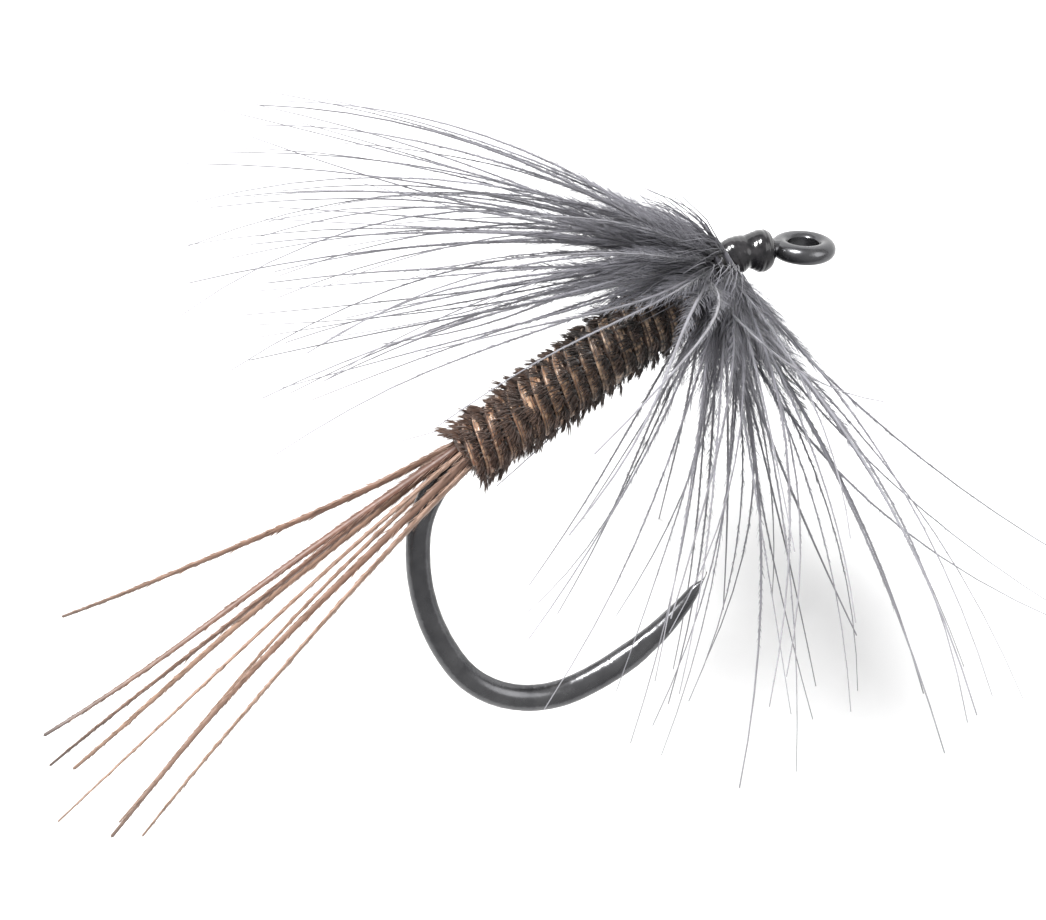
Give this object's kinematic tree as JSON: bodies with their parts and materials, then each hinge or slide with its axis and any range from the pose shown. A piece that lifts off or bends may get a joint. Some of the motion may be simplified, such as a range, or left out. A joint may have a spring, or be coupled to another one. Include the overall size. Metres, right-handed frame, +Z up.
{
  "type": "dry fly",
  "caption": "Dry fly on a black barbless down-eyed hook: brown feather-fibre tail, wound brown herl body, swept grey hackle and varnished black thread head.",
  "frame": {"origin": "centre of the hook eye", "axes": "+X forward along the hook shank, from tail to eye; +Z up, away from the hook point; the hook lies in the XZ plane"},
  "size_m": [0.0197, 0.018, 0.0186],
  "materials": {
    "black_nickel": "polished black nickel",
    "black_thread": "waxed tying thread",
    "varnish": "gloss head varnish over black thread",
    "brown_herl": "wound feather herl with short barbules",
    "tail_fibre": "brown feather fibre",
    "grey_quill": "grey hackle stem",
    "grey_hackle": "slate grey hackle barbs"
  },
  "bodies": {
    "dressed_hook": {"hook": "black_nickel", "thread_base": "black_thread", "tail_butts": "brown_herl", "tail_lashing": "black_thread", "underbody": "brown_herl", "body_herl_1": "brown_herl", "body_herl_2": "brown_herl", "body_herl_3": "brown_herl", "body_herl_4": "brown_herl", "herl_tie_off": "black_thread", "hackle_stem": "grey_quill", "hackle_stem_butt": "grey_quill", "hackle_lashing": "black_thread", "head_thread": "black_thread", "whip_finish": "black_thread", "head_varnish": "varnish"},
    "tail_near": {"tail_fibre_1": "tail_fibre", "tail_fibre_2": "tail_fibre", "tail_fibre_3": "tail_fibre", "tail_fibre_4": "tail_fibre"},
    "tail_far": {"tail_fibre_5": "tail_fibre", "tail_fibre_6": "tail_fibre", "tail_fibre_7": "tail_fibre", "tail_fibre_8": "tail_fibre"},
    "hackle_1": {"hackle_sector_1": "grey_hackle"},
    "hackle_2": {"hackle_sector_2": "grey_hackle"},
    "hackle_3": {"hackle_sector_3": "grey_hackle"},
    "hackle_4": {"hackle_sector_4": "grey_hackle"},
    "hackle_5": {"hackle_sector_5": "grey_hackle"},
    "hackle_6": {"hackle_sector_6": "grey_hackle"},
    "hackle_7": {"hackle_sector_7": "grey_hackle"},
    "hackle_8": {"hackle_sector_8": "grey_hackle"}
  },
  "joints": [
    {"name": "tail_flex", "type": "hinge", "parent": "dressed_hook", "child": "tail_near", "pos_m": [-0.00778, 0, 0.00095], "axis": [0, 1, 0], "range_deg": [-12, 12], "stiffness_Nm_per_rad": 0.000001},
    {"name": "tail_far_flex", "type": "hinge", "parent": "dressed_hook", "child": "tail_far", "pos_m": [-0.00778, 0, 0.00095], "axis": [0, 1, 0], "range_deg": [-12, 12], "stiffness_Nm_per_rad": 0.000001},
    {"name": "hackle_sweep", "type": "hinge", "parent": "dressed_hook", "child": "hackle_1", "pos_m": [-0.0018, 0.00021, 0.00119], "axis": [0, -0.8829, 0.4695], "range_deg": [-18, 14], "stiffness_Nm_per_rad": 0.000001},
    {"name": "hackle_sweep_2", "type": "hinge", "parent": "dressed_hook", "child": "hackle_2", "pos_m": [-0.0018, 0.00043, 0.00093], "axis": [0, -0.2924, 0.9563], "range_deg": [-18, 14], "stiffness_Nm_per_rad": 0.000001},
    {"name": "hackle_sweep_3", "type": "hinge", "parent": "dressed_hook", "child": "hackle_3", "pos_m": [-0.0018, 0.00039, 0.00059], "axis": [0, 0.4695, 0.8829], "range_deg": [-18, 14], "stiffness_Nm_per_rad": 0.000001},
    {"name": "hackle_sweep_4", "type": "hinge", "parent": "dressed_hook", "child": "hackle_4", "pos_m": [-0.0018, 0.00013, 0.00037], "axis": [0, 0.9563, 0.2924], "range_deg": [-18, 14], "stiffness_Nm_per_rad": 0.000001},
    {"name": "hackle_sweep_5", "type": "hinge", "parent": "dressed_hook", "child": "hackle_5", "pos_m": [-0.0018, -0.00021, 0.00041], "axis": [0, 0.8829, -0.4695], "range_deg": [-18, 14], "stiffness_Nm_per_rad": 0.000001},
    {"name": "hackle_sweep_6", "type": "hinge", "parent": "dressed_hook", "child": "hackle_6", "pos_m": [-0.0018, -0.00043, 0.00067], "axis": [0, 0.2924, -0.9563], "range_deg": [-18, 14], "stiffness_Nm_per_rad": 0.000001},
    {"name": "hackle_sweep_7", "type": "hinge", "parent": "dressed_hook", "child": "hackle_7", "pos_m": [-0.0018, -0.00039, 0.00101], "axis": [0, -0.4695, -0.8829], "range_deg": [-18, 14], "stiffness_Nm_per_rad": 0.000001},
    {"name": "hackle_sweep_8", "type": "hinge", "parent": "dressed_hook", "child": "hackle_8", "pos_m": [-0.0018, -0.00013, 0.00123], "axis": [0, -0.9563, -0.2924], "range_deg": [-18, 14], "stiffness_Nm_per_rad": 0.000001}
  ],
  "couplings": [
    {"joint": "tail_far_flex", "follows": "tail_flex", "ratio": 1},
    {"joint": "hackle_sweep_2", "follows": "hackle_sweep", "ratio": 1},
    {"joint": "hackle_sweep_3", "follows": "hackle_sweep", "ratio": 1},
    {"joint": "hackle_sweep_4", "follows": "hackle_sweep", "ratio": 1},
    {"joint": "hackle_sweep_5", "follows": "hackle_sweep", "ratio": 1},
    {"joint": "hackle_sweep_6", "follows": "hackle_sweep", "ratio": 1},
    {"joint": "hackle_sweep_7", "follows": "hackle_sweep", "ratio": 1},
    {"joint": "hackle_sweep_8", "follows": "hackle_sweep", "ratio": 1}
  ]
}
